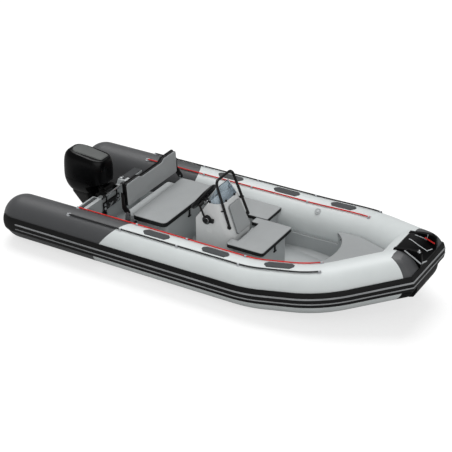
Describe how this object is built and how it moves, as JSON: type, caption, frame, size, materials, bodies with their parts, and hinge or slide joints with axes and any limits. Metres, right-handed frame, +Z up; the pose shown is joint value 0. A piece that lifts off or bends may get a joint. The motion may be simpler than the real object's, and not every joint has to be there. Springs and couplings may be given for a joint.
{
  "type": "inflatable rib boat",
  "caption": "Rigid inflatable boat with twin side tubes, steering console, folding backrest bench, padded seats and a tilting outboard engine.",
  "frame": {"origin": "on the waterline, on the centre line, at the aft face of the transom", "axes": "+X to the bow, +Y to port, +Z up"},
  "size_m": [4.7908, 2.1054, 1.534],
  "materials": {
    "tube_charcoal": "satin coated fabric",
    "tube_light_grey": "satin coated fabric",
    "strake_black": "satin ribbed rubber",
    "stripe_grey": "satin rubber",
    "grip_pad": "fine diamond grain, matt",
    "rope_red": "braided cord",
    "rope_black": "braided cord",
    "clip_grey": "moulded",
    "valve_grey": "moulded",
    "hull_white": "gel coat",
    "deck_grey": "gel coat, satin",
    "pad_black": "moulded",
    "step_black": "moulded, satin",
    "strip_dark": "anti-slip",
    "steel": "polished",
    "cushion_grey": "padded vinyl",
    "frame_black": "moulded",
    "screen_tint": "tinted acrylic",
    "rail_dark": "powder coat",
    "wheel_black": "moulded grip",
    "panel_dark": "satin",
    "bracket_paint": "satin enamel",
    "cylinder_chrome": "polished",
    "cowl_black": "gloss enamel",
    "cowl_panel": "gloss",
    "engine_metal": "cast",
    "leg_paint": "gloss enamel",
    "propeller_metal": "enamel"
  },
  "bodies": {
    "boat": {"hull_bottom": "hull_white", "floor": "deck_grey", "side_deck_port": "deck_grey", "side_deck_starboard": "deck_grey", "bow_locker": "deck_grey", "transom": "deck_grey", "transom_strips": "strip_dark", "engine_mount_pad": "pad_black", "stern_eyes": "steel", "bow_eye": "steel", "tube_aft_port": "tube_charcoal", "tube_aft_starboard": "tube_charcoal", "tube_side_port": "tube_light_grey", "tube_side_starboard": "tube_light_grey", "tube_bow": "tube_charcoal", "rubbing_strake": "strake_black", "strake_stripes": "stripe_grey", "tube_grip_pads": "grip_pad", "lifeline_inner": "rope_red", "lifeline_outer": "rope_black", "lifeline_clips": "clip_grey", "inflation_valves": "valve_grey", "bow_cushion": "cushion_grey", "bow_step": "step_black", "bow_grab_straps": "rope_red", "driver_bench": "deck_grey", "backrest_brackets": "steel", "console": "deck_grey", "instrument_panel": "panel_dark", "windscreen": "screen_tint", "console_rail": "rail_dark", "console_back_pad": "cushion_grey", "throttle": "frame_black", "front_seat_base": "deck_grey", "side_seat_base": "deck_grey", "side_seat_cushion": "cushion_grey", "lid_latches": "frame_black", "clamp_bracket": "bracket_paint", "steering_cylinder": "cylinder_chrome"},
    "swivel": {"swivel_bracket": "bracket_paint"},
    "engine": {"cowl": "cowl_black", "cowl_top_panel": "cowl_panel", "engine_block": "engine_metal", "leg": "leg_paint", "gear_case": "leg_paint"},
    "propeller_rotor": {"propeller": "propeller_metal"},
    "helm": {"steering_wheel": "wheel_black"},
    "backrest": {"backrest_pad": "cushion_grey", "backrest_shell": "frame_black"},
    "driver_lid": {"driver_cushion": "cushion_grey"},
    "front_seat_lid": {"front_cushion": "cushion_grey", "front_lid": "deck_grey"}
  },
  "joints": [
    {"name": "engine_tilt", "type": "hinge", "parent": "boat", "child": "swivel", "pos_m": [0.03, 0, 0.415], "axis": [0, 1, 0], "range_deg": [0, 60]},
    {"name": "engine_steer", "type": "hinge", "parent": "swivel", "child": "engine", "pos_m": [-0.1, 0, 0.3], "axis": [0, 0, 1], "range_deg": [-30, 30]},
    {"name": "propeller_spin", "type": "hinge", "parent": "engine", "child": "propeller_rotor", "pos_m": [-0.38, 0, -0.335], "axis": [1, 0, 0], "continuous": true},
    {"name": "steering_wheel_turn", "type": "hinge", "parent": "boat", "child": "helm", "pos_m": [1.38, -0.1, 0.71], "axis": [-0.8087, 0, 0.5882], "range_deg": [-450, 450]},
    {"name": "backrest_fold", "type": "hinge", "parent": "boat", "child": "backrest", "pos_m": [0.68, 0, 0.515], "axis": [0, -1, 0], "range_deg": [-90, 0]},
    {"name": "driver_lid_hinge", "type": "hinge", "parent": "boat", "child": "driver_lid", "pos_m": [0.706, 0, 0.445], "axis": [0, -1, 0], "range_deg": [0, 70]},
    {"name": "front_lid_hinge", "type": "hinge", "parent": "boat", "child": "front_seat_lid", "pos_m": [1.945, -0.1, 0.375], "axis": [0, -1, 0], "range_deg": [0, 65]}
  ],
  "couplings": [
    {"joint": "steering_wheel_turn", "follows": "engine_steer", "ratio": 15}
  ]
}
